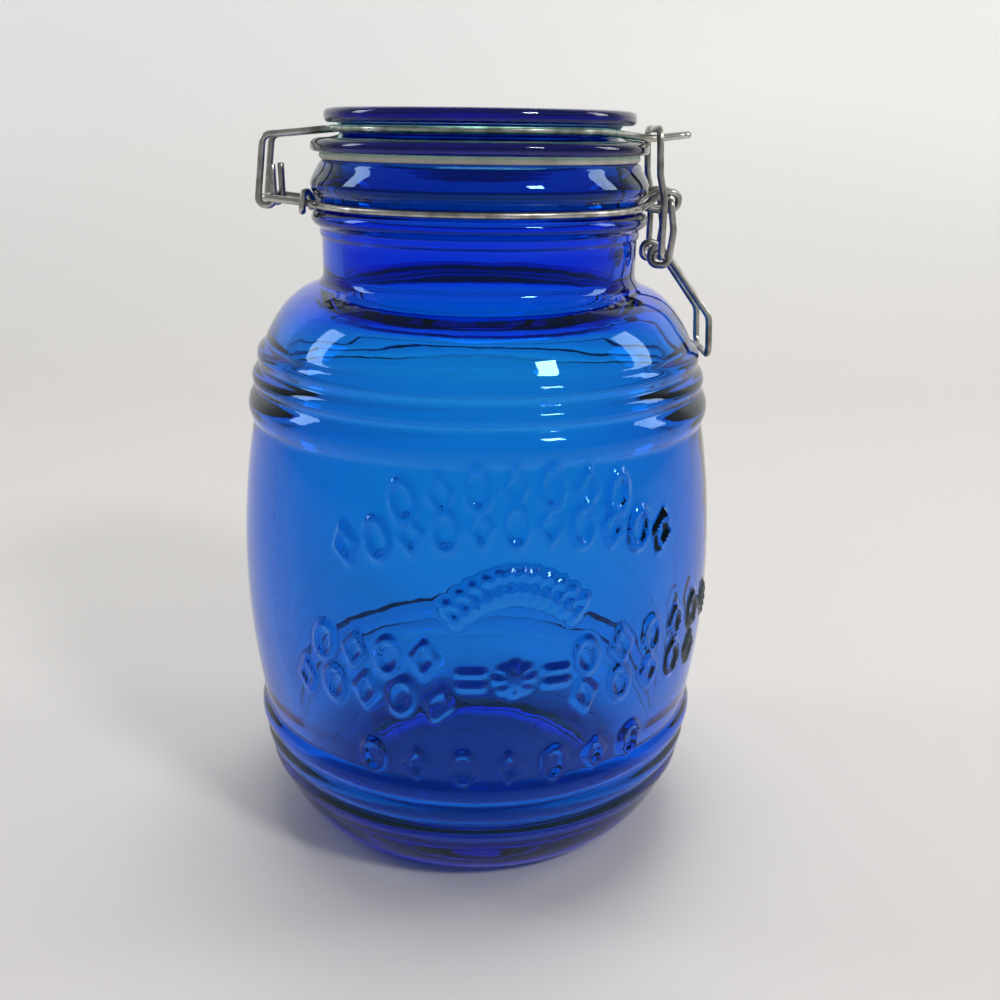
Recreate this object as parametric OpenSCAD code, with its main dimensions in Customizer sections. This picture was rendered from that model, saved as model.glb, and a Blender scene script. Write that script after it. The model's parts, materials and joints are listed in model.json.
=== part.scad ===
// Bail clamp jar: a barrel-shaped glass jar with a glass lid, a rubber gasket
// and a wire clamp. Millimetres, +Z up, +X towards the clamp, -X towards the
// hinge. The origin is on the jar's axis, on the plane that the base rests on.

/* [Jar] */
// Largest radius of the barrel
barrel_r = 73.2; // [72.8:0.1:73.6]
// Height of the barrel's widest point
barrel_z = 85; // [80:1:90]
// How fast the barrel narrows away from its widest point, per mm squared
barrel_bow = 0.0021; // [0.0019:0.0001:0.0023]
// Thickness of the glass in the barrel
wall = 8.6; // [8.2:0.1:9]
// Outer radius of the neck
neck_r = 46.5; // [46.2:0.1:46.6]
// Inner radius of the neck
mouth_r = 40.5; // [40.2:0.1:40.8]
// Height of the collar's top, where the gasket lies
collar_top = 206; // [205.9:0.1:206.05]

/* [Lid] */
// Radius of the lid's top disc
disc_r = 45; // [44:0.1:46]
// Radius of the lid's lower flange
flange_r = 49.1; // [48.5:0.1:49.3]
// Radius of the groove that the lid wire lies in
lid_groove_r = 40.5; // [40:0.1:40.6]
// Height of the lid's top
lid_top = 220; // [219:0.1:220]
// Radius of the plug that drops into the mouth
plug_r = 38.3; // [37:0.1:38.5]

/* [Gasket] */
// Outer radius of the rubber gasket
gasket_r = 46.9; // [46:0.1:47.5]
// Width of the gasket's band
gasket_w = 7.6; // [7:0.1:8]
// Thickness of the clamped gasket
gasket_h = 2; // [1.9:0.05:2]

/* [Wire] */
// Diameter of every wire
wire_d = 2; // [1.9:0.05:2]
// Half the distance between the hinge's two hooks
hook_y = 7.4; // [7.2:0.1:7.5]
// Half the distance between the hinge loop's arms
arm_y = 10.4; // [10.2:0.1:10.6]
// Half the distance between the clamp's two eyes on the neck wire
eye_y = 8.3; // [8.2:0.1:8.4]
// Half the distance between the lever's legs
lever_y = 10.6; // [10.5:0.1:10.7]
// Half the distance between the link's legs
link_y = 13; // [12.9:0.1:13.2]
// Gap between the link's top bar and the lid wire's tongue
latch_gap = 0.75; // [0.7:0.05:0.9]

/* [Hidden] */

$fn = 48;
wire_r = wire_d / 2;
fit_gap = 0.05;
joint_in = 0.15;
joint_step = 0.04;

// Heights of the two wires that lie in grooves, and the radii they lie at
neck_wire_z = 193.6;
neck_ring_r = neck_r + wire_r + fit_gap;
lid_wire_z = 214.4;
lid_ring_r = lid_groove_r + wire_r + fit_gap;

// Hinge bar, lever pivot and link pivot, as [x, z]
hinge = [-61.6, 195.4];
pivot = [54.9, 195.5];
toggle = [52.5, 180];
hook_r = wire_d + 0.4;
eye_r = 2.6;
curl_r = 2.5;

// Raised bands round the barrel: [height, outer radius, half height, bulge]
BANDS = [[136.3, 70, 4.8, 1.9], [144.4, 68.6, 2.9, 1.5], [150.8, 66.8, 3.2, 1.5],
         [37.4, 70.8, 4, 1.8], [30.2, 69.6, 3.3, 1.4], [23.4, 68.1, 3.2, 1.3]];

// ---- Curves ---------------------------------------------------------------

// Points along a quadratic curve from a to c that is drawn towards b
function bow(a, b, c, n = 10) =
    [for (i = [0:n]) let (t = i / n) (1 - t) * (1 - t) * a + 2 * t * (1 - t) * b + t * t * c];

// The barrel's outer radius at height z
function barrel(z) = barrel_r - barrel_bow * pow(z - barrel_z, 2);

// The barrel's side between two heights, set in by a thickness
function side(z0, z1, inset, n = 16) =
    [for (i = [0:n]) let (z = z0 + (z1 - z0) * i / n) [barrel(z) - inset, z]];

// ---- Wire -----------------------------------------------------------------

function unit(v) = v / norm(v);
// Angle that a path turns through at its point i
function turn(p, i) = acos(unit(p[i] - p[i - 1]) * unit(p[i + 1] - p[i]));
// Straight length that a bend of radius r takes up before and after point i
function setback(p, r, i) =
    i == 0 || i == len(p) - 1 ? 0 : r[i] * tan(turn(p, i) / 2);

// Places children with their x, y and z along three unit vectors, at o
module frame(x, y, z, o) {
    multmatrix([[x[0], y[0], z[0], o[0]],
                [x[1], y[1], z[1], o[1]],
                [x[2], y[2], z[2], o[2]],
                [0, 0, 0, 1]]) children();
}

// A straight length of wire from a to b. It is a hair thinner than the bends
// and runs a little way into them, so that each pair joins cleanly.
module rod(a, b) {
    z = unit(b - a);
    x = unit(abs(z[2]) < 0.9 ? cross([0, 0, 1], z) : cross([0, 1, 0], z));
    frame(x, cross(z, x), z, a)
        translate([0, 0, -joint_in])
            cylinder(d = wire_d - joint_step, h = norm(b - a) + 2 * joint_in, $fn = 24);
}

// A bend at b, between the points a and c, with centreline radius r
module bend(a, b, c, r) {
    u = unit(b - a);
    v = unit(c - b);
    angle = acos(u * v);
    inwards = unit(v - u * cos(angle));
    centre = b - u * r * tan(angle / 2) + inwards * r;
    frame(-inwards, u, cross(-inwards, u), centre)
        rotate_extrude(angle = angle, $fn = 72)
            translate([r, 0]) circle(d = wire_d, $fn = 24);
}

// Wire through the points p, bent at each one to its radius in r
module wire(p, r) {
    for (i = [0:len(p) - 2]) {
        u = unit(p[i + 1] - p[i]);
        rod(p[i] + u * setback(p, r, i), p[i + 1] - u * setback(p, r, i + 1));
    }
    for (i = [1:len(p) - 2]) bend(p[i - 1], p[i], p[i + 1], r[i]);
}

// Wire bent round the jar's axis at radius r and height z, between two angles
module ring_wire(r, z, from, to) {
    translate([0, 0, z]) rotate([0, 0, from])
        rotate_extrude(angle = to - from, $fn = 144)
            translate([r, 0]) circle(d = wire_d, $fn = 24);
}

// A point on a ring of radius r at angle a, and where the ring's tangent
// there crosses the line y = y0
function on_ring(r, a, z) = [r * cos(a), r * sin(a), z];
function off_ring(r, a, z, y0) =
    on_ring(r, a, z) + (y0 - r * sin(a)) / cos(a) * [-sin(a), cos(a), 0];
function flip(p) = [p[0], -p[1], p[2]];
function both_sides(p) = concat(p, [for (i = [len(p) - 1:-1:0]) flip(p[i])]);
function both_radii(r) = concat(r, [for (i = [len(r) - 1:-1:0]) r[i]]);

module mirrored() {
    children();
    mirror([0, 1, 0]) children();
}

// ---- Glass ----------------------------------------------------------------

// Outline of the glass jar's outside, with no bands
module jar_outline() {
    polygon(concat(
        [[0, 3.2], [30, 2.6]],
        bow([42.5, 0.6], [43.5, 0], [45, 0], 3),
        bow([50, 0], [60, 3], [67.2, 21]),
        [[67.6, 25]],
        side(33, 141, 0),
        [[66.6, 146]],
        bow([65.4, 152], [60, 167], [49.6, 170.5]),
        bow([49.6, 170.5], [neck_r, 171.6], [neck_r, 174.5], 4),
        [[neck_r, 184.4], [neck_r + 0.6, 185.2], [neck_r + 0.6, 188], [neck_r, 189]],
        [[neck_r, 194.9]],
        bow([neck_r + 2.2, 196.9], [49.6, 198], [49.4, 199.8], 5),
        bow([47.7, 203.8], [46.9, collar_top], [45, collar_top], 5),
        [[0, collar_top]]
    ));
}

// Outline of the space inside the jar
module jar_space() {
    polygon(concat(
        [[0, 12], [30, 12]],
        bow([44, 12.6], [58, 13.6], [60.2, 28], 8),
        side(34, 130, wall),
        bow([60.4, 134], [59.4, 160], [46, 163.4]),
        bow([46, 163.4], [mouth_r, 165], [mouth_r, 170], 4),
        [[mouth_r, 202.5]],
        bow([mouth_r, 202.5], [mouth_r, collar_top], [mouth_r + 2, collar_top + 0.1], 4),
        [[0, collar_top + 0.1]]
    ));
}

// A raised band: the part of a circle that stands out past the barrel
module band(z, r, half_h, bulge) {
    circle_r = (half_h * half_h + bulge * bulge) / (2 * bulge);
    translate([r - circle_r, z]) circle(r = circle_r);
}

module jar_body() {
    color("royalblue", 0.6)
        rotate_extrude($fn = 144)
            difference() {
                union() {
                    jar_outline();
                    for (b = BANDS) band(b[0], b[1], b[2], b[3]);
                    translate([neck_r + 0.7, 190]) circle(r = 2.2);
                }
                jar_space();
            }
}

module lid_glass() {
    color("midnightblue", 0.7)
        rotate_extrude($fn = 144)
            polygon(concat(
                [[0, 206], [plug_r - 7, 205.2]],
                bow([plug_r - 5, 204], [plug_r - 3, 203], [plug_r - 1, 203.2], 4),
                [[plug_r, 204.2], [plug_r, 208.1], [46.8, 208.1]],
                bow([48, 208.1], [flange_r, 208.2], [flange_r, 209.8], 4),
                bow([flange_r, 209.8], [flange_r, 211.4], [46.6, 211.9], 6),
                [[43, 212.2], [lid_groove_r, 212.8]],
                [[lid_groove_r, 215.2], [lid_groove_r + 0.7, 215.9]],
                bow([disc_r - 1.4, 215.9], [disc_r, 216], [disc_r, 217.6], 5),
                bow([disc_r, 218], [disc_r, lid_top], [disc_r - 2.4, lid_top], 5),
                [[disc_r - 4, lid_top - 0.2], [disc_r - 6, lid_top - 0.9], [0, lid_top - 0.9]]
            ));
}

module gasket() {
    gasket_z = collar_top + fit_gap;
    color("gainsboro")
        rotate_extrude($fn = 144)
            polygon(concat(
                [[gasket_r - gasket_w, gasket_z], [gasket_r - 0.6, gasket_z]],
                bow([gasket_r - 0.6, gasket_z], [gasket_r + 0.2, gasket_z + gasket_h / 2],
                    [gasket_r - 0.6, gasket_z + gasket_h], 6),
                [[gasket_r - gasket_w, gasket_z + gasket_h]]
            ));
}

// ---- Clamp ----------------------------------------------------------------

// The neck wire lies in the groove under the collar. On the hinge side it runs
// out into a square loop, and on the clamp side into two eyes.
module neck_wire() {
    out_a = 16.5;
    hinge_a = 197.5;
    back_a = 5.6;
    back_y = eye_y - wire_d - 0.2;
    eye_top = pivot[1] + eye_r;
    eye_low = pivot[1] - eye_r;
    eye_x = pivot[0] + eye_r;
    z = neck_wire_z;
    color("silver") {
        mirrored() ring_wire(neck_ring_r, z, hinge_a, 360 - out_a);
        wire(both_sides(
            [on_ring(neck_ring_r, -out_a, z),
             off_ring(neck_ring_r, -out_a, z, -eye_y),
             [pivot[0] - 2.4, -eye_y, eye_top],
             [eye_x, -eye_y, eye_top],
             [eye_x, -back_y, eye_low],
             [pivot[0] - 3, -back_y, eye_low],
             [neck_ring_r + 0.2, -back_y, z]]),
            both_radii([0, 3, 3, 2.4, 2.4, 3, 1.9]));
        wire(both_sides(
            [on_ring(neck_ring_r, hinge_a, z),
             off_ring(neck_ring_r, hinge_a, z, -arm_y),
             [hinge[0], -arm_y, hinge[1]]]),
            both_radii([0, 2.4, 1.7]));
    }
}

// The hinge tie closes the ring between the hinge loop's arms, with one turn
// of wire round each arm.
module hinge_tie() {
    out = arm_y + wire_d + 0.2;
    in = arm_y - wire_d - 0.3;
    color("silver")
        wire(both_sides(
            [[-51, -in, 191.7],
             [-50.6, -out, 191.7],
             [-49.9, -out, 197],
             [-49.4, -in, 197],
             [-47.9, -in + 1.4, neck_wire_z]]),
            both_radii([0, 1.3, 1.3, 1.3, 1.4]));
}

// The lid wire lies in the lid's groove. It ends in two hooks round the hinge
// bar, and its middle is a tongue for the clamp's link.
module lid_wire() {
    arm_a = 196;
    tongue_a = 36.8;
    tongue_y = 3.2;
    corner = [-61.6, -hook_y, 212.4];
    color("silver") {
        mirrored() ring_wire(lid_ring_r, lid_wire_z, arm_a, 360 - tongue_a);
        mirrored() wire(
            [on_ring(lid_ring_r, arm_a, lid_wire_z),
             off_ring(lid_ring_r, arm_a, lid_wire_z, -hook_y),
             corner,
             [hinge[0] - hook_r, -hook_y, hinge[1] - hook_r],
             [hinge[0] + hook_r, -hook_y, hinge[1] - hook_r],
             [hinge[0] + hook_r - 0.2, -hook_y, 204.2]],
            [0, 2.6, 2.6, hook_r - 0.4, hook_r - 0.4, 0]);
        wire(both_sides(
            [on_ring(lid_ring_r, -tongue_a, lid_wire_z),
             [50.2, -tongue_y, 212.6],
             [60.3, -tongue_y, 213.9]]),
            both_radii([0, 4, 3]));
    }
}

// The lever is one wire: a pin through each eye of the neck wire, a leg, a
// full curl for the link, and the handle that joins the two sides.
module lever() {
    curl_y = lever_y - wire_d - 0.4;
    handle_y = 10.2;
    color("silver")
        wire(both_sides(
            [[pivot[0], -eye_y + 3.4, pivot[1]],
             [pivot[0], -lever_y, pivot[1]],
             [pivot[0] + 1.2, -lever_y, 187.5],
             [toggle[0] + curl_r, -lever_y, toggle[1] - curl_r],
             [toggle[0] - curl_r, -curl_y - 1, toggle[1] - curl_r],
             [toggle[0] - curl_r, -curl_y, toggle[1] + curl_r],
             [toggle[0] + 0.9, -curl_y, toggle[1] + curl_r],
             [68.2, -handle_y, 162.6],
             [68.8, -handle_y, 151]]),
            both_radii([0, 1.3, 8, 2.2, 2.2, 2.2, 2.2, 5, 3.4]));
}

// The link is a closed loop: its top bar holds the tongue down, and its two
// ends turn inwards through the lever's curls.
module link() {
    bar_z = 212.6 + wire_d + latch_gap;
    color("silver")
        wire(both_sides(
            [[toggle[0], -lever_y + 4, toggle[1]],
             [toggle[0], -link_y, toggle[1]],
             [52.6, -link_y, 196.6],
             [51, -link_y, 203],
             [50.4, -link_y, bar_z]]),
            both_radii([0, 1.3, 9, 9, 3.2]));
}

jar_body();
neck_wire();
hinge_tie();
lid_glass();
gasket();
lid_wire();
lever();
link();
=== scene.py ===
"""Looks of a bail clamp jar: blue glass, a pale rubber gasket and zinc-plated wire.

Every shape is worked out in millimetres and put into its mesh in metres, in
the frame of the packed part: +Z up, +X towards the clamp, -X towards the hinge.
"""

import json

import bpy
import numpy as np
from mathutils import Matrix, Vector


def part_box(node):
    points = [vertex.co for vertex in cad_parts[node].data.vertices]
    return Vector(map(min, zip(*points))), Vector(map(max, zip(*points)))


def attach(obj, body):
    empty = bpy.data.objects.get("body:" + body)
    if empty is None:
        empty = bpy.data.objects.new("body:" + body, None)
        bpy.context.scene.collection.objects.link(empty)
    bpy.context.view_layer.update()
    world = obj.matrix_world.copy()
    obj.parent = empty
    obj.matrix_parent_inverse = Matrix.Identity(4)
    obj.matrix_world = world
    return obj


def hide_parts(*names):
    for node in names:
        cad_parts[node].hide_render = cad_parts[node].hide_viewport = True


bl_info = {
    "name": "Bail Clamp Jar",
    "version": (1, 0, 0),
    "blender": (4, 5, 0),
    "location": "View3D > Sidebar > Jar",
    "description": "Builds the surfaces, materials and stage of a bail clamp jar",
    "category": "Object",
}

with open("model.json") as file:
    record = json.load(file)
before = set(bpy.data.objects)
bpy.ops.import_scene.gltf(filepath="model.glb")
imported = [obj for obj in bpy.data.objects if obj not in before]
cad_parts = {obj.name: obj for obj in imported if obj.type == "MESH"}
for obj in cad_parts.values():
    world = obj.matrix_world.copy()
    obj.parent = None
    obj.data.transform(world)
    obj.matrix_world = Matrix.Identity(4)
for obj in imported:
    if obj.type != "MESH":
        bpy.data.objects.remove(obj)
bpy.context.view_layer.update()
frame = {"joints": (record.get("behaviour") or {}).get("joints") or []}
MM = 0.001


def node_box_mm(node):
    """The lowest and highest corners of a node of the part, in millimetres."""
    low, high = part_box(node)
    return np.array(low) / MM, np.array(high) / MM


JAR_HIGH = node_box_mm("jar_body")[1]
LID_HIGH = node_box_mm("lid_glass")[1]
RUBBER_LOW, RUBBER_HIGH = node_box_mm("gasket")
JOINT_AT = {j["name"]: np.array(j["pos_m"]) / MM for j in frame["joints"]}


# ---- Sizes and colours ------------------------------------------------------


def length(name, description, default_mm):
    """A length property whose default is given in millimetres."""
    return bpy.props.FloatProperty(
        name=name,
        description=description,
        default=default_mm * MM,
        unit="LENGTH",
        precision=5,
    )


def colour(name, description, default):
    """A text property that holds an sRGB colour as a hex value."""
    return bpy.props.StringProperty(name=name, description=description, default=default)


def amount(name, description, default):
    """A plain number property."""
    return bpy.props.FloatProperty(
        name=name, description=description, default=default, precision=4
    )


class JarSizes(bpy.types.PropertyGroup):
    """Sizes of the glass jar."""

    barrel_radius: length("Barrel radius", "Outer radius at the widest point", 73.2)
    collar_height: length("Collar height", "Height of the collar's top", float(JAR_HIGH[2]))
    wall: length("Wall", "Thickness of the glass in the barrel", 8.6)
    ripple: length("Ripple", "How far the inner wall wanders from a true turn", 0.32)
    relief: length("Relief", "How far the moulded pattern stands out", 1.0)
    seam: length("Seam", "How far the two mould seams stand out", 0.16)


class LidSizes(bpy.types.PropertyGroup):
    """Sizes of the glass lid and its gasket."""

    top_height: length("Lid top", "Height of the lid's top", float(LID_HIGH[2]))
    gasket_radius: length("Gasket radius", "Outer radius of the gasket", float(RUBBER_HIGH[0]))
    gasket_width: length("Gasket width", "Width of the gasket's band", 7.6)


class WireSizes(bpy.types.PropertyGroup):
    """Sizes of the wire clamp."""

    thickness: length("Wire", "Diameter of every wire", 2.0)
    step: length("Step", "Distance between rings of faces on a straight wire", 3.0)
    sides: bpy.props.IntProperty(name="Sides", description="Faces round each wire", default=18)


class JarColours(bpy.types.PropertyGroup):
    """Colours and finishes of the jar."""

    steel: colour("Steel", "Clean plated wire", "#C9C8C2")
    steel_dull: colour("Dull steel", "Wire where the plating has gone dull", "#8B8880")
    rubber: colour("Rubber", "Rubber gasket", "#CFCDC4")
    rubber_dark: colour("Dark rubber", "Rubber in its pores and marks", "#B5B2A8")
    red_depth: amount("Red absorption", "Red light lost per metre of glass", 330.0)
    green_depth: amount("Green absorption", "Green light lost per metre of glass", 82.0)
    blue_depth: amount("Blue absorption", "Blue light lost per metre of glass", 9.0)


class StageLooks(bpy.types.PropertyGroup):
    """Floor, backdrop, lights and camera."""

    floor: colour("Floor", "Pale floor", "#CFCBC8")
    backdrop: colour("Backdrop", "Pale backdrop", "#F4F6F3")
    lens: amount("Lens", "Focal length of the camera in millimetres", 40.68)
    world: amount("World light", "Strength of the even light from all round", 0.27)
    window: amount("Window light", "Power of the window light in watts", 7.6)


def sizes(group):
    """The scene's own settings of one group."""
    return getattr(bpy.context.scene, group)


# ---- Curves -----------------------------------------------------------------


def bow(a, b, c, count=14):
    """Points on the quadratic curve from a to c that is drawn towards b:
    (1-t)^2 a + 2t(1-t) b + t^2 c."""
    t = np.linspace(0, 1, count + 1)[:, None]
    a, b, c = np.array(a, float), np.array(b, float), np.array(c, float)
    return (1 - t) ** 2 * a + 2 * t * (1 - t) * b + t**2 * c


def joined(*parts):
    """One outline from several lists of points, with repeated points left out."""
    line = np.concatenate([np.atleast_2d(np.array(p, float)) for p in parts])
    keep = np.r_[True, np.linalg.norm(np.diff(line, axis=0), axis=1) > 1e-6]
    return line[keep]


def along(line):
    """Distance along a line of points, from its first point."""
    return np.r_[0, np.cumsum(np.linalg.norm(np.diff(line, axis=0), axis=1))]


def softened(line, spread, step=0.12):
    """The line with its corners melted: it is resampled at an even step, and each
    point becomes the average of its neighbours, weighted by a bell curve whose
    spread is given in millimetres. The two ends stay where they are."""
    s = along(line)
    even = np.linspace(0, s[-1], int(s[-1] / step) + 1)
    dense = np.stack([np.interp(even, s, line[:, i]) for i in range(line.shape[1])], 1)
    reach = int(3 * spread / step)
    bell = np.exp(-0.5 * (np.arange(-reach, reach + 1) * step / spread) ** 2)
    bell /= bell.sum()
    head = 2 * dense[0] - dense[reach:0:-1]
    tail = 2 * dense[-1] - dense[-2 : -reach - 2 : -1]
    padded = np.concatenate([head, dense, tail])
    axes = range(line.shape[1])
    return np.stack([np.convolve(padded[:, i], bell, "valid") for i in axes], 1)


def spaced(line, wanted):
    """Points on a line, closer together where it turns. wanted(point) is the
    largest distance allowed there, and a turn of a few degrees asks for a point too."""
    s = along(line)
    d = np.gradient(line, axis=0)
    turn = np.abs(np.gradient(np.unwrap(np.arctan2(d[:, 1], d[:, 0]))))
    largest_turn = np.radians(7.5)
    density = np.maximum(np.gradient(s) / wanted(line), turn / largest_turn)
    total = np.r_[0, np.cumsum((density[1:] + density[:-1]) / 2)]
    count = int(np.ceil(total[-1])) + 1
    at = np.interp(np.linspace(0, total[-1], count), total, s)
    return np.stack([np.interp(at, s, line[:, i]) for i in range(2)], 1)


# ---- Meshes -----------------------------------------------------------------


def mesh_object(name, points_mm, quads, triangles=None, uv=None):
    """A smooth-shaded object from points in millimetres, quads and triangles.
    uv holds one pair for each point."""
    mesh = bpy.data.meshes.new(name)
    faces = quads.tolist() + ([] if triangles is None else triangles.tolist())
    mesh.from_pydata((points_mm * MM).tolist(), [], faces)
    mesh.polygons.foreach_set("use_smooth", np.ones(len(mesh.polygons), bool))
    if uv is not None:
        corners = np.zeros(len(mesh.loops), np.int32)
        mesh.loops.foreach_get("vertex_index", corners)
        layer = mesh.uv_layers.new(name="along_wire")
        layer.data.foreach_set("uv", uv[corners].astype(np.float32).ravel())
    mesh.validate()
    mesh.update()
    made = bpy.data.objects.new(name, mesh)
    bpy.context.scene.collection.objects.link(made)
    return made


def grid_quads(rows, columns, closed):
    """Quads of a grid of points. The columns wrap round, and so do the rows if closed."""
    i = np.arange(rows if closed else rows - 1)[:, None]
    j = np.arange(columns)[None, :]
    down, up = i * columns, (i + 1) % rows * columns
    right = (j + 1) % columns
    return np.stack([down + j, down + right, up + right, up + j], -1).reshape(-1, 4)


def pole_fans(rows, columns):
    """Triangles that close the two ends of a grid. The first ring's fan meets at the
    point that follows the grid's own, and the last ring's at the one after that."""
    j = np.arange(columns)
    k = (j + 1) % columns
    first, last, top = rows * columns, rows * columns + 1, (rows - 1) * columns
    start = np.stack([0 * j + first, k, j], 1)
    end = np.stack([0 * j + last, top + j, top + k], 1)
    return np.concatenate([start, end])


def round_axis(outline, angles, push):
    """Grid of points about Z: (r, z) of the outline at angle a goes to
    (r cos a, r sin a, z), after push(r, z, a) has moved r outwards."""
    r, z = outline[:, 0][:, None], outline[:, 1][:, None]
    a = angles[None, :]
    out = r + push(r, z, a)
    return np.stack([out * np.cos(a), out * np.sin(a), z + 0 * a], -1)


def turned(name, outline, angles, push):
    """A closed solid turned about Z. Its outline starts and ends on the axis, where
    a fan of triangles closes each pole."""
    grid = round_axis(outline[1:-1], angles, push)
    rows, columns = grid.shape[:2]
    poles = np.array([[0, 0, outline[0, 1]], [0, 0, outline[-1, 1]]])
    points = np.concatenate([grid.reshape(-1, 3), poles])
    quads = grid_quads(rows, columns, False)
    return mesh_object(name, points, quads, pole_fans(rows, columns))


def ring_of(name, section, angles, push):
    """A closed ring turned about Z from a closed section of (r, z) points."""
    grid = round_axis(section, angles, push)
    quads = grid_quads(len(section), len(angles), True)
    return mesh_object(name, grid.reshape(-1, 3), quads)


def angles_with_fine_front(count_front, count_back, middle, half):
    """Angles round the jar, packed closely in a sector of the front and evenly
    elsewhere. middle and half are the sector's place and half width in degrees."""
    a, h = np.radians(middle), np.radians(half)
    front = np.linspace(a - h, a + h, count_front, endpoint=False)
    back = np.linspace(a + h, a - h + 2 * np.pi, count_back, endpoint=False)
    return np.concatenate([front, back])


# ---- Wire -------------------------------------------------------------------

DEGREES_PER_POINT = 9


def bent(points, radii, step):
    """The middle line of a bent wire: straight between its points, with an arc of
    the given radius at each one. An arc's centre lies on the line that halves the
    corner, and its points are the centre plus the radius turned through the bend."""
    p = [np.array(q, float) for q in points]
    out = [p[0][None]]
    for before, here, after, r in zip(p, p[1:], p[2:], radii[1:]):
        u = (here - before) / np.linalg.norm(here - before)
        v = (after - here) / np.linalg.norm(after - here)
        bend = np.arccos(np.clip(u @ v, -1, 1))
        inwards = v - u * np.cos(bend)
        inwards /= np.linalg.norm(inwards)
        start = here - u * r * np.tan(bend / 2)
        count = max(4, int(np.degrees(bend) / DEGREES_PER_POINT))
        t = np.linspace(0, bend, count)[:, None]
        out.append(start + r * (inwards * (1 - np.cos(t)) + u * np.sin(t)))
    out.append(p[-1][None])
    line = joined(*out)
    s = along(line)
    gaps = np.diff(s)
    extra = [
        np.linspace(a, a + g, int(g // step) + 2)[:-1]
        for a, g in zip(s[:-1], gaps)
    ]
    at = np.r_[np.concatenate(extra), s[-1]]
    return np.stack([np.interp(at, s, line[:, i]) for i in range(3)], 1)


def arc_round_jar(radius, height, start, stop, count=90):
    """Points on a level circle about the jar's axis, between two angles in degrees."""
    a = np.radians(np.linspace(start, stop, count))
    return np.stack([radius * np.cos(a), radius * np.sin(a), 0 * a + height], 1)


def flipped(points):
    """The same points on the other side of the XZ plane, in the other order."""
    return np.array(points)[::-1] * [1, -1, 1]


def unit(v):
    """Vectors of the same directions, one long."""
    return v / np.linalg.norm(v, axis=-1, keepdims=True)


def wire_frames(line, closed):
    """Two directions square to the wire at each point of its line. Both come from a
    fixed direction first. Then each ring is turned by the sum of the twists before
    it, where a twist is the angle left after the shortest turn from one tangent to
    the next, so the faces run straight along the wire."""
    if closed:
        t = unit(np.roll(line, -1, 0) - np.roll(line, 1, 0))
    else:
        t = unit(np.gradient(line, axis=0))
    reference = np.where(np.abs(t[:, 2:3]) < 0.8, [[0, 0, 1.0]], [[0, 1.0, 0]])
    n = unit(np.cross(reference, t))
    b = np.cross(t, n)
    t0, t1 = (t, np.roll(t, -1, 0)) if closed else (t[:-1], t[1:])
    n0 = n if closed else n[:-1]
    n1, b1 = (np.roll(n, -1, 0), np.roll(b, -1, 0)) if closed else (n[1:], b[1:])
    w = np.cross(t0, t1)
    c = np.sum(t0 * t1, 1, keepdims=True)
    carried = n0 + np.cross(w, n0) + np.cross(w, np.cross(w, n0)) / (1 + c)
    twist = np.arctan2(np.sum(carried * b1, 1), np.sum(carried * n1, 1))
    total = np.r_[0, np.cumsum(twist)]
    if closed:
        left = (total[-1] + np.pi) % (2 * np.pi) - np.pi
        total = total[:-1] - left * np.arange(len(line)) / len(line)
    return t, n, b, total


def wire_object(name, line, thickness, sides, closed=False):
    """A round wire along a line: point a of a ring is the line's point plus the
    radius times (n cos a + b sin a). The ends of an open wire are cut square with
    a small bevel, and a fan closes each. UV holds metres along and round the wire."""
    t, n, b, twist = wire_frames(line, closed)
    radius = np.full(len(line), thickness / 2)
    if not closed:
        bevel, end_share = 0.12 * thickness, 0.78
        head, tail = line[0] - t[0] * bevel, line[-1] + t[-1] * bevel
        line = np.concatenate([head[None], line, tail[None]])
        n, b = (np.concatenate([v[:1], v, v[-1:]]) for v in (n, b))
        twist = np.r_[twist[0], twist, twist[-1]]
        radius = np.r_[end_share * radius[0], radius, end_share * radius[-1]]
    a = 2 * np.pi * np.arange(sides)[None, :] / sides + twist[:, None]
    grid = line[:, None] + radius[:, None, None] * (
        n[:, None] * np.cos(a)[..., None] + b[:, None] * np.sin(a)[..., None]
    )
    rows = len(line)
    points = grid.reshape(-1, 3)
    around = np.pi * thickness * np.abs(np.arange(sides) / sides - 0.5) * MM
    uv = np.stack(np.broadcast_arrays(along(line)[:, None] * MM, around[None, :]), -1)
    uv = uv.reshape(-1, 2)
    quads = grid_quads(rows, sides, closed)
    fans = None
    if not closed:
        fans = pole_fans(rows, sides)
        points = np.concatenate([points, line[:1], line[-1:]])
        uv = np.concatenate([uv, uv[:1], uv[-1:]])
    return mesh_object(name, points, quads, fans, uv)


# ---- Materials --------------------------------------------------------------


def linear(hex_colour):
    """Linear red, green, blue and alpha of an sRGB hex value."""
    c = np.array([int(hex_colour[i : i + 2], 16) for i in (1, 3, 5)]) / 255
    c = np.where(c <= 0.04045, c / 12.92, ((c + 0.055) / 1.055) ** 2.4)
    return (*c.tolist(), 1.0)


def add(tree, kind, links=(), stops=(), **settings):
    """Adds one node. Settings are its properties, or its inputs by name with spaces
    written as underscores. Links are (from socket, name of the input), and stops are
    the (position, hex colour) pairs of a colour ramp."""
    node = tree.nodes.new(kind)
    for key, value in settings.items():
        if hasattr(node, key):
            setattr(node, key, value)
        else:
            label = key.replace("_", " ").lower()
            socket = next(s for s in node.inputs if s.name.lower() == label)
            socket.default_value = value
    for source, target in links:
        tree.links.new(source, node.inputs[target])
    if stops:
        band = node.color_ramp.elements
        while len(band) < len(stops):
            band.new(0.5)
        for element, (position, shade) in zip(band, stops):
            element.position = position
            element.color = linear(shade)
    return node


def new_material(name):
    """An empty node material and its tree, with a Principled shader on the output."""
    material = bpy.data.materials.new(name)
    material.use_nodes = True
    tree = material.node_tree
    tree.nodes.clear()
    shader = add(tree, "ShaderNodeBsdfPrincipled")
    out = add(tree, "ShaderNodeOutputMaterial", [(shader.outputs[0], "Surface")])
    return material, tree, shader, out


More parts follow.
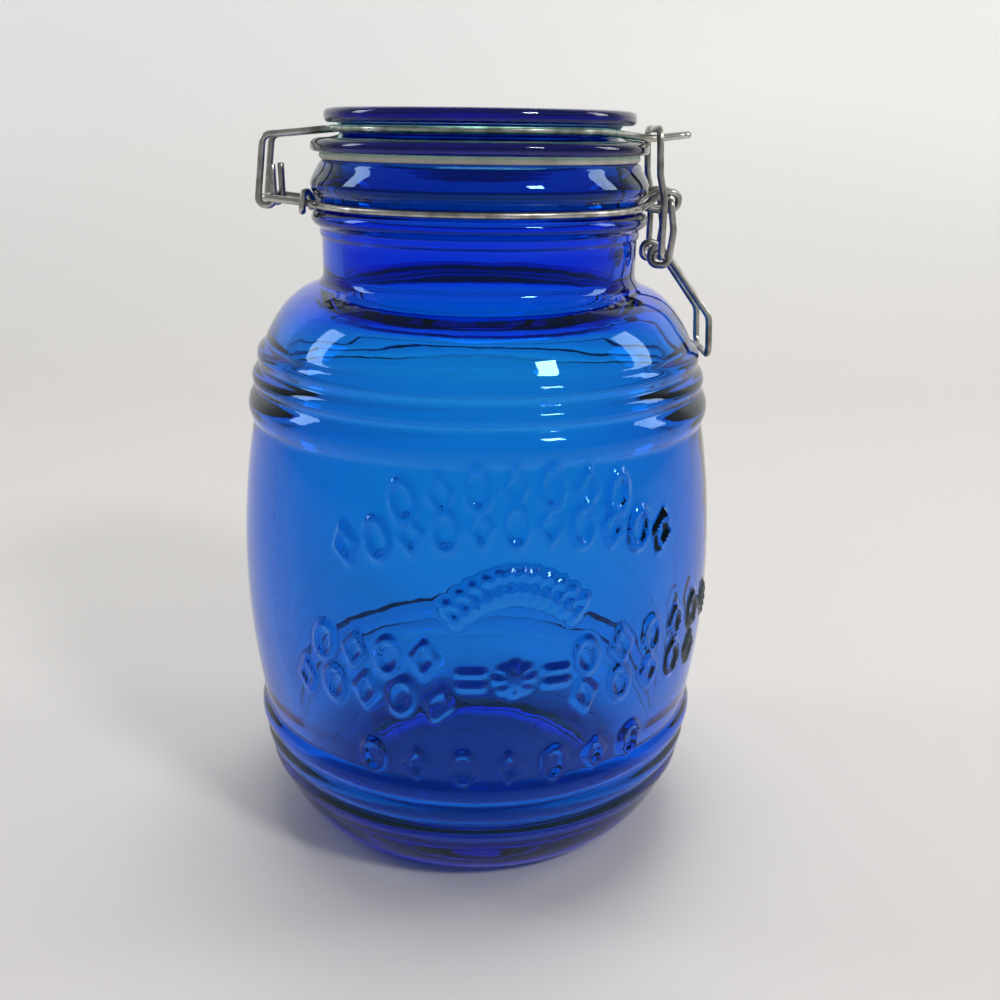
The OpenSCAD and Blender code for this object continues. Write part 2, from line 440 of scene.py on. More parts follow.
GLASS_HEIGHT = 0.22
BASE_TONE = "#E1E7FF"
HEEL_TONE = "#E7EFFF"
BARREL_TONE = "#F6FCFF"
# Painted shade: the neck and collar tints below are darker than the barrel's tone.
NECK_PAINTED_SHADE = "#4590FF"
COLLAR_PAINTED_SHADE = "#6186BC"
LID_TONE = "#FFE7BC"
JAR_GLOSS = "#8BCEFF"
LID_GLOSS = "#F3F9FF"
# Tone of the jar's glass by height, as a share of GLASS_HEIGHT in metres. The darker neck and
# collar are painted shade.
JAR_TONES_AND_PAINTED_SHADE = [
    (0.0, BASE_TONE),
    (0.16, HEEL_TONE),
    (0.3, BARREL_TONE),
    (0.72, BARREL_TONE),
    (0.78, NECK_PAINTED_SHADE),
    (0.86, NECK_PAINTED_SHADE),
    (0.9, COLLAR_PAINTED_SHADE),
]


def cobalt_glass(name, gloss, tone, tones_and_painted_shade=()):
    """Cobalt blue soda-lime glass, pressed and blown in an iron mould: clear right
    through, so it darkens with depth, and a little wavy where the mould chilled it.
    Its tone is one colour, or a ramp by height, which paints shade on the jar's neck and
    collar."""
    looks = sizes("jar_colours")
    material, tree, shader, out = new_material(name)
    shader.inputs["Transmission Weight"].default_value = 1.0
    shader.inputs["IOR"].default_value = 1.52
    shader.inputs["Roughness"].default_value = 0.01
    # Deep blue glass returns little but blue at a steep angle, and white at its edges.
    shader.inputs["Specular Tint"].default_value = linear(gloss)
    shader.inputs["Base Color"].default_value = linear(tone)
    depth = np.array([looks.red_depth, looks.green_depth, looks.blue_depth])
    volume = add(tree, "ShaderNodeVolumeAbsorption")
    volume.inputs["Color"].default_value = (*(1 - depth / depth.max()).tolist(), 1)
    volume.inputs["Density"].default_value = float(depth.max())
    tree.links.new(volume.outputs[0], out.inputs["Volume"])
    place = add(tree, "ShaderNodeTexCoord").outputs["Object"]
    if tones_and_painted_shade:
        # Painted shade: the neck and collar are tinted darker than the barrel, standing in for
        # the little light that comes through them.
        height = add(tree, "ShaderNodeSeparateXYZ", [(place, "Vector")]).outputs["Z"]
        level = add(
            tree,
            "ShaderNodeMapRange",
            [(height, "Value")],
            From_Min=0.0,
            From_Max=GLASS_HEIGHT,
        )
        shade = add(tree, "ShaderNodeValToRGB", [(level.outputs[0], "Fac")], tones_and_painted_shade)
        tree.links.new(shade.outputs["Color"], shader.inputs["Base Color"])
    # Chill waves of the mould, about 18 mm apart, and fine orange peel 2.5 mm apart.
    waves = add(
        tree, "ShaderNodeTexNoise", [(place, "Vector")], Scale=1 / 0.018, Detail=2.0
    )
    peel = add(
        tree, "ShaderNodeTexNoise", [(place, "Vector")], Scale=1 / 0.0025, Detail=1.0
    )
    first = add(
        tree,
        "ShaderNodeBump",
        [(waves.outputs["Fac"], "Height")],
        Strength=0.35,
        Distance=0.0004,
    )
    bump = add(
        tree,
        "ShaderNodeBump",
        [(peel.outputs["Fac"], "Height"), (first.outputs[0], "Normal")],
        Strength=0.12,
        Distance=0.00005,
    )
    tree.links.new(bump.outputs[0], shader.inputs["Normal"])
    return material


def plated_steel(name):
    """Drawn mild steel wire with bright zinc plating: a soft grey metal, with fine
    draw lines along it and duller patches where it has been handled and washed."""
    looks = sizes("jar_colours")
    material, tree, shader, _ = new_material(name)
    shader.inputs["Metallic"].default_value = 1.0
    coords = add(tree, "ShaderNodeTexCoord")
    place, wire = coords.outputs["Object"], coords.outputs["UV"]
    # Draw lines: 0.15 mm apart round the wire, 12 mm long along it.
    stretch = add(
        tree,
        "ShaderNodeMapping",
        [(wire, "Vector")],
        Scale=(1 / 0.012, 1 / 0.00015, 1.0),
    )
    lines = add(
        tree, "ShaderNodeTexNoise", [(stretch.outputs[0], "Vector")], Scale=1.0, Detail=3.0
    )
    # Duller patches, about 6 mm across.
    patches = add(
        tree, "ShaderNodeTexNoise", [(place, "Vector")], Scale=1 / 0.006, Detail=4.0
    )
    shade = add(
        tree,
        "ShaderNodeValToRGB",
        [(patches.outputs["Fac"], "Fac")],
        [(0.36, looks.steel_dull), (0.58, looks.steel)],
    )
    tree.links.new(shade.outputs["Color"], shader.inputs["Base Color"])
    rough = add(
        tree,
        "ShaderNodeMapRange",
        [(patches.outputs["Fac"], "Value")],
        From_Min=0.3,
        From_Max=0.7,
        To_Min=0.42,
        To_Max=0.24,
    )
    tree.links.new(rough.outputs[0], shader.inputs["Roughness"])
    bump = add(
        tree,
        "ShaderNodeBump",
        [(lines.outputs["Fac"], "Height")],
        Strength=0.35,
        Distance=0.00003,
    )
    tree.links.new(bump.outputs[0], shader.inputs["Normal"])
    return material


def moulded_rubber(name):
    """Pale grey moulded natural rubber: matte and slightly chalky, with a fine grain
    and faint stains from washing."""
    looks = sizes("jar_colours")
    material, tree, shader, _ = new_material(name)
    shader.inputs["Specular IOR Level"].default_value = 0.35
    place = add(tree, "ShaderNodeTexCoord").outputs["Object"]
    # Stains, about 9 mm across, and moulded grain 0.35 mm apart.
    stains = add(
        tree, "ShaderNodeTexNoise", [(place, "Vector")], Scale=1 / 0.009, Detail=5.0
    )
    grain = add(
        tree, "ShaderNodeTexNoise", [(place, "Vector")], Scale=1 / 0.00035, Detail=2.0
    )
    shade = add(
        tree,
        "ShaderNodeValToRGB",
        [(stains.outputs["Fac"], "Fac")],
        [(0.35, looks.rubber_dark), (0.6, looks.rubber)],
    )
    tree.links.new(shade.outputs["Color"], shader.inputs["Base Color"])
    rough = add(
        tree,
        "ShaderNodeMapRange",
        [(stains.outputs["Fac"], "Value")],
        To_Min=0.62,
        To_Max=0.82,
    )
    tree.links.new(rough.outputs[0], shader.inputs["Roughness"])
    bump = add(
        tree,
        "ShaderNodeBump",
        [(grain.outputs["Fac"], "Height")],
        Strength=0.3,
        Distance=0.00006,
    )
    tree.links.new(bump.outputs[0], shader.inputs["Normal"])
    return material


def fit_out(piece, material, body, slot, *nodes):
    """Gives a piece its material and body, and hides the nodes it stands for. slot is not
    used.
    """
    piece.data.materials.append(material)
    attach(piece, body)
    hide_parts(*nodes)


# ---- Glass jar --------------------------------------------------------------

# Raised bands round the barrel: height, outer radius, half height, bulge.
BANDS = np.array(
    [
        [136.3, 70, 4.8, 1.9],
        [144.4, 68.6, 2.9, 1.5],
        [150.8, 66.8, 3.2, 1.5],
        [37.4, 70.8, 4, 1.8],
        [30.2, 69.6, 3.3, 1.4],
        [23.4, 68.1, 3.2, 1.3],
    ]
)
BARREL_WIDEST = 85.0
BARREL_BOW = 0.0021


def barrel_radius(z):
    """The barrel's outer radius: its greatest radius less the bow times the square
    of the distance from its widest height."""
    return sizes("jar_sizes").barrel_radius / MM - BARREL_BOW * (z - BARREL_WIDEST) ** 2


def barrel_side(z0, z1, inset, count=60):
    """The barrel's side between two heights, set in by a thickness."""
    z = np.linspace(z0, z1, count)
    return np.stack([barrel_radius(z) - inset, z], 1)


def with_bands(line):
    """The outline with each point pushed out to the widest band at its height. A
    band is the part of a circle that stands out past the barrel."""
    z = line[:, 1][:, None]
    height, radius, half, bulge = BANDS.T
    circle = (half**2 + bulge**2) / (2 * bulge)
    inside = np.maximum(circle**2 - (z - height) ** 2, 0)
    reach = np.where(inside > 0, radius - circle + np.sqrt(inside), 0)
    on_side = line[:, 0] > 50
    out = line.copy()
    out[:, 0] = np.where(on_side, np.maximum(line[:, 0], reach.max(1)), line[:, 0])
    return out


def jar_outside(collar_top):
    """The jar's outside from the pole of its base to the top of its collar. Points
    are (radius, height) in millimetres, here and in the other outlines."""
    neck = 46.5
    barrel = joined(
        bow([45, 0], [51, 0], [55.5, 4.2], 10),
        bow([50, 0], [60, 3], [67.2, 21], 40)[12:],
        [[67.6, 25]],
        barrel_side(33, 141, 0, 200),
        [[66.6, 146]],
        bow([65.4, 152], [60, 167], [49.6, 170.5], 40),
        bow([49.6, 170.5], [neck, 171.6], [neck, 174.5]),
    )
    bead_a = np.radians(np.linspace(-68, 68, 22))
    bead = np.stack([neck + 0.7 + 2.2 * np.cos(bead_a), 190 + 2.2 * np.sin(bead_a)], 1)
    above = joined(
        [[neck, 184.4], [neck + 0.6, 185.2], [neck + 0.6, 187.2]],
        bead,
        [[neck, 192.4], [neck, 194.9]],
        bow([neck + 2.2, 196.9], [49.6, 198], [49.4, 199.8]),
        bow([49.4, 199.8], [48.6, 202.2], [47.2, 204.0], 6),
        bow([47.2, 204.0], [46.6, collar_top], [45, collar_top]),
    )
    base = joined([[0, 3.2], [30, 2.6]], bow([42.5, 0.6], [43.5, 0], [45, 0], 6))
    lower = softened(with_bands(softened(joined(base, barrel), 0.3, 0.2)), 0.55)
    upper = softened(joined(barrel[-1:], above), 0.3)
    return joined(lower, upper)


def jar_inside(collar_top, wall):
    """The jar's inside from the top of its collar to the middle of its floor."""
    mouth = 40.5
    line = joined(
        [[45, collar_top]],
        bow([mouth + 2, collar_top], [mouth, collar_top], [mouth, 202.5]),
        [[mouth, 170]],
        bow([mouth, 170], [mouth, 165], [46, 163.4]),
        bow([46, 163.4], [59.4, 160], [60.4, 134], 30),
        barrel_side(130, 34, wall, 120),
        bow([60.2, 28], [58, 13.6], [44, 12.6], 30),
        [[30, 12], [0, 12]],
    )
    return softened(line, 1.1)


# The moulded pattern on the front: kind, angle from the front in degrees, height,
# half width, half height and tilt in degrees. Kind 0 is an oval outline, 1 a
# lozenge outline and 2 a solid bar with round ends.
PATTERN_MIDDLE = 8.0
PATTERN_RADIUS = 73.0
HALF_PATTERN_RADIUS = 36
STROKE = 0.66
# Where the pattern may lie: lowest and highest point, and least radius.
PATTERN_ZONE = (36, 134, 60)


def pattern_row(kinds, first, last, ends_z, middle_z, half_w, half_h, lean=0.0):
    """A row of figures between two angles, arched from ends_z to middle_z as a
    parabola, each one tilted to stand square to the arch."""
    a = np.linspace(first, last, len(kinds))
    t = np.linspace(-1, 1, len(kinds))
    z = middle_z + (ends_z - middle_z) * t**2
    rise = 2 * (ends_z - middle_z) * t
    half_run = np.radians(last - first) * HALF_PATTERN_RADIUS
    tilt = np.degrees(np.arctan2(rise, half_run)) + lean
    return np.stack([kinds, a, z, 0 * a + half_w, 0 * a + half_h, tilt], 1)


def pattern_figures():
    """Every figure of the moulded pattern."""
    rows = [
        pattern_row([0, 1, 0, 1, 0, 1, 0], -16, 32, 123.2, 127.8, 3.0, 5.4),
        pattern_row([1, 0] * 5 + [1], -29, 45, 109.8, 117.4, 3.0, 5.2),
        pattern_row([0, 1, 0, 1], -35, -11, 80.4, 80.0, 3.1, 4.9, -6),
        pattern_row([1, 0, 1, 0, 1], -41, -8, 67.0, 68.6, 3.0, 4.9, -6),
        pattern_row([0, 1, 0, 1, 0, 1], 24, 70, 79.4, 80.2, 3.0, 4.9, 6),
        pattern_row([1, 0, 1, 0, 1], 24, 61, 67.6, 68.6, 3.0, 4.9, 6),
        pattern_row([0, 1, 0, 1, 0, 1, 0], -24, 39, 47.2, 46.4, 3.2, 4.9),
    ]
    scallops = pattern_row([0] * 12, -5, 21.5, 94.6, 103.0, 1.5, 2.6)
    under = pattern_row([2] * 12, -4.4, 20.8, 91.4, 99.0, 0.5, 1.0)
    spokes = [[2, PATTERN_MIDDLE, 74.8, 0.45, 4.6, turn] for turn in (0, 45, 90, 135)]
    bars = [[2, a, z, 2.8, 0.3, 0] for a in (-1.2, 17.2) for z in (76.8, 72.8)]
    return np.concatenate([*rows, scallops, under, spokes, bars])


def pattern_height(angle, z):
    """How far the pattern stands out, from 0 to 1. For each figure the point is
    turned into the figure's own axes, then its distance from the figure's line is
    taken, and the height is a bell curve of that distance. The highest figure wins."""
    best = np.zeros(np.broadcast(angle, z).shape)
    for kind, a, height, w, h, tilt in pattern_figures():
        turn = np.radians(tilt)
        across = (np.degrees(angle) - a) * np.pi / 180 * PATTERN_RADIUS
        up = z - height
        x = across * np.cos(turn) + up * np.sin(turn)
        y = -across * np.sin(turn) + up * np.cos(turn)
        oval = np.abs(np.hypot(x / w, y / h) - 1) * w
        lozenge = np.abs(np.abs(x) / w + np.abs(y) / h - 1) * w * 0.85
        bar = np.hypot(np.maximum(np.abs(x) - w, 0), np.maximum(np.abs(y) - h, 0))
        d = (oval, lozenge, bar)[int(kind)]
        best = np.maximum(best, np.exp(-((d / STROKE) ** 2)))
    return best


def build_jar_body():
    """The glass jar: its outside and inside in one closed surface."""
    s = sizes("jar_sizes")
    top = s.collar_height / MM
    lowest, highest, least = PATTERN_ZONE

    def outside_step(p):
        """Fine steps where the pattern is, and coarse ones under the base."""
        on_pattern = (p[:, 1] > lowest + 2) & (p[:, 1] < highest - 2)
        fine = on_pattern & (p[:, 0] > least)
        return np.where(fine, 0.9, np.where(p[:, 0] < 42, 6.0, 2.6))

    def inside_step(p):
        """Coarser steps on the floor of the jar."""
        return np.where(p[:, 0] < 40, 6.0, 4.4)

    outside = spaced(jar_outside(top), outside_step)
    inside = spaced(jar_inside(top, s.wall / MM), inside_step)
    outline = joined(outside, inside)
    angles = angles_with_fine_front(172, 56, -90 + PATTERN_MIDDLE + 7, 66)

    def push(r, z, a):
        """Pattern and seams outside, slow waves inside."""
        row = np.arange(len(r))[:, None] + 1
        is_out = row < len(outside)
        from_front = (a + np.pi / 2 + np.pi) % (2 * np.pi) - np.pi
        on_barrel = is_out & (z > lowest) & (z < highest) & (r > least)
        # The top and bottom rows stand out further than the rows between them.
        strength = np.interp(z, [52, 60, 88, 104], [1.7, 1.0, 1.0, 1.6])
        height = pattern_height(from_front, z) * strength * s.relief / MM
        lift = np.where(on_barrel, height, 0.0)
        seam_gap = np.minimum(np.abs(np.sin(a)), 0.2) * r
        seam = np.exp(-((seam_gap / 0.9) ** 2)) * s.seam / MM
        lift = lift + np.where(is_out & (z > 22) & (z < 184), seam, 0.0)
        wave = (
            np.sin(2 * a + 0.021 * z + 0.7)
            + 0.7 * np.sin(3 * a - 0.034 * z + 2.1)
            + 0.5 * np.sin(5 * a + 0.055 * z)
            + 0.45 * np.sin(0.11 * z + 1.3 * np.sin(a))
        ) / 2.2
        fade = np.clip((r - 43) / 12, 0, 1) * np.clip((z - 16) / 12, 0, 1)
        shoulder = np.exp(-(((z - 152) / 11) ** 2)) * fade
        rings = 0.9 * np.sin(0.95 * z + 1.1 * np.sin(a + 0.4) + 0.8 * np.sin(3 * a))
        uneven = (wave * fade + rings * shoulder) * s.ripple / MM
        return lift + np.where(is_out, 0.0, uneven)

    piece = turned("jar_glass", outline, angles, push)
    # The jar's glass carries painted shade on its neck and collar.
    glass = cobalt_glass("cobalt_jar_glass", JAR_GLOSS, BARREL_TONE, JAR_TONES_AND_PAINTED_SHADE)
    fit_out(piece, glass, "jar", "blue_glass", "jar_body")


# ---- Lid and gasket ---------------------------------------------------------


def lid_outline(top):
    """The lid's outline from the middle of its underside to the middle of its top."""
    plug, flange, groove, disc = 38.3, 49.1, 40.5, 45.0
    line = joined(
        [[0, 206], [plug - 7, 205.2]],
        bow([plug - 5, 204], [plug - 3, 203], [plug - 1, 203.2]),
        bow([plug - 1, 203.2], [plug, 203.4], [plug, 204.6]),
        [[plug, 208.1], [46.8, 208.1]],
        bow([48, 208.1], [flange, 208.2], [flange, 209.8]),
        bow([flange, 209.8], [flange, 211.4], [46.6, 211.9]),
        [[43, 212.2], [groove, 212.8], [groove, 215.2], [groove + 0.7, 215.9]],
        bow([disc - 1.4, 215.9], [disc, 216], [disc, 217.6]),
        bow([disc, 218], [disc, top], [disc - 2.4, top]),
        [[disc - 4, top - 0.2], [disc - 6, top - 0.9], [0, top - 0.9]],
    )
    return softened(line, 0.28)


def build_lid_glass():
    """The pressed glass lid, one closed surface."""
    top = sizes("lid_sizes").top_height / MM
    outline = spaced(lid_outline(top), lambda p: np.where(p[:, 0] < 30, 5.0, 2.0))
    angles = np.linspace(0, 2 * np.pi, 240, endpoint=False)

    def push(r, z, a):
        """A slow unevenness of the pressed edge."""
        edge = np.clip((r - 30) / 15, 0, 1)
        return 0.05 * edge * np.sin(3 * a + 0.5 * z) + 0.03 * edge * np.sin(7 * a)

    piece = turned("lid_disc", outline, angles, push)
    glass = cobalt_glass("cobalt_lid_glass", LID_GLOSS, LID_TONE)
    fit_out(piece, glass, "lid", "lid_blue_glass", "lid_glass")


def build_gasket():
    """The rubber gasket: a flat ring whose outer edge bulges where it is clamped."""
    s = sizes("lid_sizes")
    outer = s.gasket_radius / MM
    low, high = float(RUBBER_LOW[2]), float(RUBBER_HIGH[2])
    inner = outer - s.gasket_width / MM
    middle = (low + high) / 2
    section = joined(
        [[inner + 0.3, low], [outer - 0.7, low]],
        bow([outer - 0.7, low], [outer + 0.35, middle], [outer - 0.7, high]),
        [[inner + 0.3, high]],
        bow([inner + 0.3, high], [inner - 0.2, middle], [inner + 0.3, low]),
    )[:-1]
    angles = np.linspace(0, 2 * np.pi, 240, endpoint=False)

    def push(r, z, a):
        """The clamped edge creeps out a little more in places."""
        edge = np.clip((r - inner) / (outer - inner), 0, 1)
        return 0.12 * edge * (np.sin(2 * a + 1) + 0.6 * np.sin(5 * a))

    piece = ring_of("gasket_rubber", section, angles, push)
    rubber = moulded_rubber("pale_moulded_rubber")
    fit_out(piece, rubber, "lid", "pale_rubber", "gasket")


# ---- Wires ------------------------------------------------------------------

# Half distances between the two sides of the clamp's parts.
EYE_Y = 8.3
HOOK_Y = 7.4
ARM_Y = 10.4
LEVER_Y = 10.6
LINK_Y = 13.0


def on_ring(radius, degrees, z):
    """A point on a level circle at an angle."""
    a = np.radians(degrees)
    return np.array([radius * np.cos(a), radius * np.sin(a), z])


def off_ring(radius, degrees, z, y):
    """Where the circle's tangent at an angle crosses the line of that y."""
    a = np.radians(degrees)
    start = on_ring(radius, degrees, z)
    return start + (y - start[1]) / np.cos(a) * np.array([-np.sin(a), np.cos(a), 0])


def both_sides(points, radii, step):
    """A bent wire that mirrors itself in the XZ plane."""
    p = np.array(points, float)
    return bent(np.concatenate([p, flipped(p)]), [*radii, *radii[::-1]], step)


def neck_wire_line(step):
    """The neck wire's closed line: round the front, out to the two eyes, round the
    back, and out to the square hinge loop."""
    pivot, hinge = JOINT_AT["lever_turn"], JOINT_AT["lid_hinge"]
    z, radius, eye = 193.6, 47.55, 2.6
    top, low, back = pivot[2] + eye, pivot[2] - eye, EYE_Y - 2.2
    clamp = both_sides(
        [
            on_ring(radius, -16.5, z),
            off_ring(radius, -16.5, z, -EYE_Y),
            [pivot[0] - 2.4, -EYE_Y, top],
            [pivot[0] + eye, -EYE_Y, top],
            [pivot[0] + eye, -back, low],
            [pivot[0] - 3, -back, low],
            [radius + 0.2, -back, z],
        ],
        [0, 3, 3, 2.4, 2.4, 3, 1.9],
        step,
    )
    loop = both_sides(
        [
            on_ring(radius, 197.5, z),
            off_ring(radius, 197.5, z, -ARM_Y),
            [hinge[0], -ARM_Y, hinge[2]],
        ],
        [0, 2.4, 1.7],
        step,
    )[::-1]
    front = arc_round_jar(radius, z, -162.5, -16.5)
    back_arc = arc_round_jar(radius, z, 16.5, 162.5)
    return joined(front, clamp, back_arc, loop)[:-1]


def hinge_tie_line(step):
    """The hinge tie: one turn round each arm of the hinge loop, joined by a bar."""
    out, inside = ARM_Y + 2.2, ARM_Y - 2.3
    return both_sides(
        [
            [-51, -inside, 191.7],
            [-50.6, -out, 191.7],
            [-49.9, -out, 197],
            [-49.4, -inside, 197],
            [-47.9, -inside + 1.4, 193.6],
        ],
        [0, 1.3, 1.3, 1.3, 1.4],
        step,
    )


def lid_wire_line(step):
    """The lid wire's open line: hook, ring, tongue, ring and hook."""
    hinge = JOINT_AT["lid_hinge"]
    radius, z, hook = 41.55, 214.4, 2.4
    x, pin = hinge[0], hinge[2]
    arm = bent(
        [
            [x + hook - 0.2, -HOOK_Y, 204.2],
            [x + hook, -HOOK_Y, pin - hook],
            [x - hook, -HOOK_Y, pin - hook],
            [x, -HOOK_Y, 212.4],
            off_ring(radius, 196, z, -HOOK_Y),
            on_ring(radius, 196, z),
        ],
        [0, 2.0, 2.0, 2.6, 2.6],
        step,
    )
    root = -36.8
    tongue = both_sides(
        [on_ring(radius, root, z), [50.2, -3.2, 212.6], [60.3, -3.2, 213.9]],
        [0, 4, 3],
        step,
    )
    front = arc_round_jar(radius, z, -164, root)
    half = joined(arm, front)
    return joined(half, tongue, flipped(half))


def lever_line(step):
    """The lever's open line: pin, leg, curl and handle on each side."""
    p, t = JOINT_AT["lever_turn"], JOINT_AT["link_swing"]
    curl = 2.5
    curl_y = LEVER_Y - 2.4
    return both_sides(
        [
            [p[0], -EYE_Y + 3.4, p[2]],
            [p[0], -LEVER_Y, p[2]],
            [p[0] + 1.2, -LEVER_Y, 187.5],
            [t[0] + curl, -LEVER_Y, t[2] - curl],
            [t[0] - curl, -curl_y - 1, t[2] - curl],
            [t[0] - curl, -curl_y, t[2] + curl],
            [t[0] + 0.9, -curl_y, t[2] + curl],
            [68.2, -10.2, 162.6],
            [68.8, -10.2, 151],
        ],
        [0, 1.3, 8, 2.2, 2.2, 2.2, 2.2, 5, 3.4],
        step,
    )


def link_line(step):
    """The link's open line: its ends turn inwards through the lever's curls, and its
    top bar lies over the tongue."""
    t = JOINT_AT["link_swing"]
    return both_sides(
        [
            [t[0], -LEVER_Y + 4, t[2]],
            [t[0], -LINK_Y, t[2]],
            [52.6, -LINK_Y, 196.6],
            [51, -LINK_Y, 203],
            [50.4, -LINK_Y, 215.35],
        ],
        [0, 1.3, 9, 9, 3.2],
        step,
    )


STEEL = "zinc_plated_steel"
# Each wire's line, the body it rides on, and whether it is one closed loop.
WIRES = {
    "neck_wire": (neck_wire_line, "jar", True),
    "hinge_tie": (hinge_tie_line, "jar", False),
    "lid_wire": (lid_wire_line, "lid", False),
    "lever": (lever_line, "lever", False),
    "link": (link_line, "link", False),
}


def build_wire(node):
    """One wire of the clamp, in the place of its node."""
    s = sizes("wire_sizes")
    make, body, closed = WIRES[node]
    line = make(s.step / MM)
    piece = wire_object(node + "_steel", line, s.thickness / MM, s.sides, closed)
    steel = bpy.data.materials.get(STEEL) or plated_steel(STEEL)
    fit_out(piece, steel, body, "steel_wire", node)


# ---- Stage ------------------------------------------------------------------


def paint(name, low_colour, high_colour, roughness):
    """Satin emulsion paint on board: an even pale coat, lighter up the wall."""
    material, tree, shader, _ = new_material(name)
    place = add(tree, "ShaderNodeTexCoord").outputs["Object"]
    height = add(tree, "ShaderNodeSeparateXYZ", [(place, "Vector")]).outputs["Z"]
    stops = [(0.0, low_colour), (0.4, high_colour)]
    shade = add(tree, "ShaderNodeValToRGB", [(height, "Fac")], stops)
    tree.links.new(shade.outputs["Color"], shader.inputs["Base Color"])
    shader.inputs["Roughness"].default_value = roughness
    return material


def build_stage():
    """Floor and backdrop in one sheet: flat, then a quarter turn up into a wall."""
    looks = sizes("stage_looks")
    cove_start, cove_radius, wall_top, reach = 560.0, 340.0, 1500.0, 2400
    a = np.linspace(0, np.pi / 2, 16)
    line = joined(
        [[-reach, 0], [-300, 0]],
        np.stack([cove_start + cove_radius * np.sin(a), cove_radius * (1 - np.cos(a))], 1),
        [[cove_start + cove_radius, wall_top]],
    )
    x = np.linspace(-reach, reach, 13)[None, :]
    y, z = line[:, 0][:, None], line[:, 1][:, None]
    grid = np.stack(np.broadcast_arrays(x, y, z), -1)
    rows, columns = grid.shape[:2]
    i, j = np.meshgrid(np.arange(rows - 1), np.arange(columns - 1), indexing="ij")
    here = i * columns + j
    quads = np.stack([here, here + 1, here + columns + 1, here + columns], -1)
    sheet = mesh_object("studio_sheet", grid.reshape(-1, 3), quads.reshape(-1, 4))
    sheet.data.materials.append(paint("studio_paint", looks.floor, looks.backdrop, 0.45))


def area_light(name, place, target, width, height, power, tint):
    """A soft rectangular light that faces a point."""
    data = bpy.data.lights.new(name, "AREA")
    data.shape = "RECTANGLE"
    data.size, data.size_y = width, height
    data.energy = power
    data.color = linear(tint)[:3]
    light = bpy.data.objects.new(name, data)
    light.location = place
    towards = Vector(target) - Vector(place)
    light.rotation_euler = towards.to_track_quat("-Z", "Y").to_euler()
    bpy.context.scene.collection.objects.link(light)
    return light


def build_lights():
    """Even light from all round, a window at the front right, and three soft boxes:
    one at each side and one above, which leaves no reflection of its own."""
    looks = sizes("stage_looks")
    world = bpy.data.worlds.new("studio_air")
    world.use_nodes = True
    background = world.node_tree.nodes["Background"]
    background.inputs["Color"].default_value = linear("#F2F5F7")
    background.inputs["Strength"].default_value = looks.world
    bpy.context.scene.world = world
    jar, wall, floor = (0, 0, 0.12), (0, 0.5, 0.2), (0, 0.35, 0.0)
    power = looks.window
    side, left, above = power * 0.6, power * 0.55, power * 1.8
    area_light("window", (0.72, -0.85, 1.02), jar, 0.22, 0.2, power, "#FFFFFF")
    area_light("side_box", (1.3, 0.2, 0.8), wall, 0.35, 0.7, side, "#FFFDF8")
    area_light("left_box", (-1.3, 0.2, 0.8), wall, 0.3, 0.7, left, "#F4F8FF")
    top = area_light("top_box", (0.1, 0.2, 1.7), floor, 0.9, 0.5, above, "#FFFFFF")
    top.visible_glossy = False


def build_camera():
    """The camera: slightly above the jar, looking down at its front."""
    yaw, pitch, roll = np.radians([1.19, 18.20, 0.79])
    level = np.array([np.sin(yaw), np.cos(yaw), 0]) * np.cos(pitch)
    ahead = level - [0, 0, np.sin(pitch)]
    right = np.array([np.cos(yaw), -np.sin(yaw), 0])
    up = np.cross(right, ahead)
    turned_right = np.cos(roll) * right + np.sin(roll) * up
    turned_up = -np.sin(roll) * right + np.cos(roll) * up
    data = bpy.data.cameras.new("front_camera")
    data.sensor_width = 36.0
    data.lens = sizes("stage_looks").lens
    data.clip_start = 0.01
    data.clip_end = 20.0
    data.dof.use_dof = False
    camera = bpy.data.objects.new("front_camera", data)
    place = Matrix(np.stack([turned_right, turned_up, -ahead], 1).tolist()).to_4x4()
    place.translation = (0.0, -0.3446, 0.2149)
    camera.matrix_world = place
    bpy.context.scene.collection.objects.link(camera)
    bpy.context.scene.camera = camera


# ---- Add-on -----------------------------------------------------------------


class JAR_OT_jar_body(bpy.types.Operator):
    """Makes the glass jar, with its bands, moulded pattern and inner wall"""

    bl_idname = "jar.jar_body"
    bl_label = "Glass Jar"

    def execute(self, context):
        build_jar_body()
        return {"FINISHED"}


class JAR_OT_lid_glass(bpy.types.Operator):
    """Makes the pressed glass lid"""

    bl_idname = "jar.lid_glass"
    bl_label = "Glass Lid"

    def execute(self, context):
        build_lid_glass()
        return {"FINISHED"}


class JAR_OT_gasket(bpy.types.Operator):
    """Makes the rubber gasket"""

    bl_idname = "jar.gasket"
    bl_label = "Gasket"

    def execute(self, context):
        build_gasket()
        return {"FINISHED"}


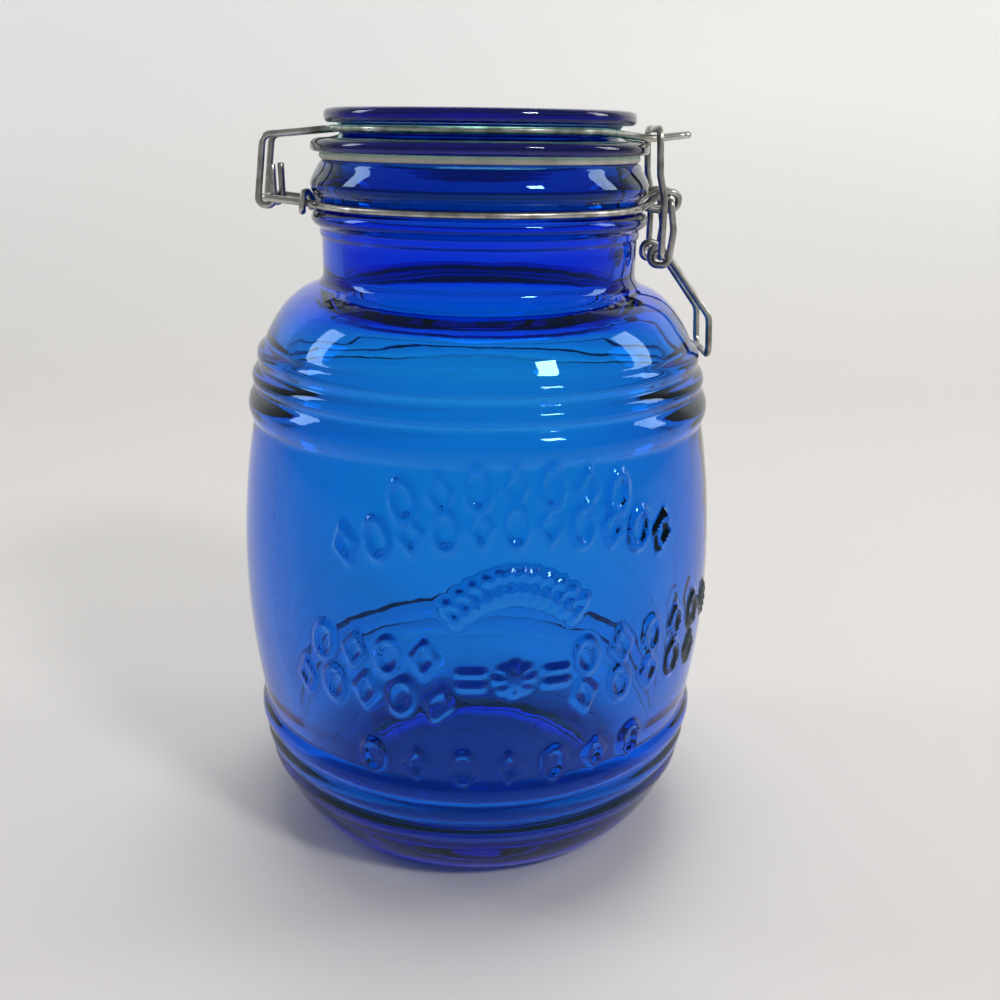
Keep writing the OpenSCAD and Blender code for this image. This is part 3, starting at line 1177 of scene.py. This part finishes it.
class JAR_OT_wires(bpy.types.Operator):
    """Makes the five wires of the clamp"""

    bl_idname = "jar.wires"
    bl_label = "Wire Clamp"

    def execute(self, context):
        for node in WIRES:
            build_wire(node)
        return {"FINISHED"}


class JAR_OT_stage(bpy.types.Operator):
    """Makes the floor, the lights and the camera"""

    bl_idname = "jar.stage"
    bl_label = "Stage"

    def execute(self, context):
        build_stage()
        build_lights()
        build_camera()
        return {"FINISHED"}


class JAR_PT_panel(bpy.types.Panel):
    """Lists the jar's pieces and settings"""

    bl_label = "Bail Clamp Jar"
    bl_idname = "JAR_PT_panel"
    bl_space_type = "VIEW_3D"
    bl_region_type = "UI"
    bl_category = "Jar"

    def draw(self, context):
        for operator in OPERATORS:
            self.layout.operator(operator.bl_idname)
        for name, group in GROUPS.items():
            box = self.layout.box()
            box.label(text=group.__doc__)
            for key in group.__annotations__:
                box.prop(getattr(context.scene, name), key)


GROUPS = {
    "jar_sizes": JarSizes,
    "lid_sizes": LidSizes,
    "wire_sizes": WireSizes,
    "jar_colours": JarColours,
    "stage_looks": StageLooks,
}
OPERATORS = [JAR_OT_jar_body, JAR_OT_lid_glass, JAR_OT_gasket, JAR_OT_wires, JAR_OT_stage]


def register():
    """Registers the classes and hangs the settings on the scene."""
    for cls in [*GROUPS.values(), *OPERATORS, JAR_PT_panel]:
        bpy.utils.register_class(cls)
    for name, group in GROUPS.items():
        setattr(bpy.types.Scene, name, bpy.props.PointerProperty(type=group))


def unregister():
    """Takes the settings and the classes away again."""
    for name in GROUPS:
        delattr(bpy.types.Scene, name)
    for cls in reversed([*GROUPS.values(), *OPERATORS, JAR_PT_panel]):
        bpy.utils.unregister_class(cls)


def main():
    """Builds every piece and the stage, then sets the Standard view transform."""
    register()
    bpy.ops.jar.stage()
    bpy.ops.jar.jar_body()
    bpy.ops.jar.lid_glass()
    bpy.ops.jar.gasket()
    bpy.ops.jar.wires()
    bpy.context.scene.view_settings.view_transform = "Standard"


if __name__ == "__main__":
    main()
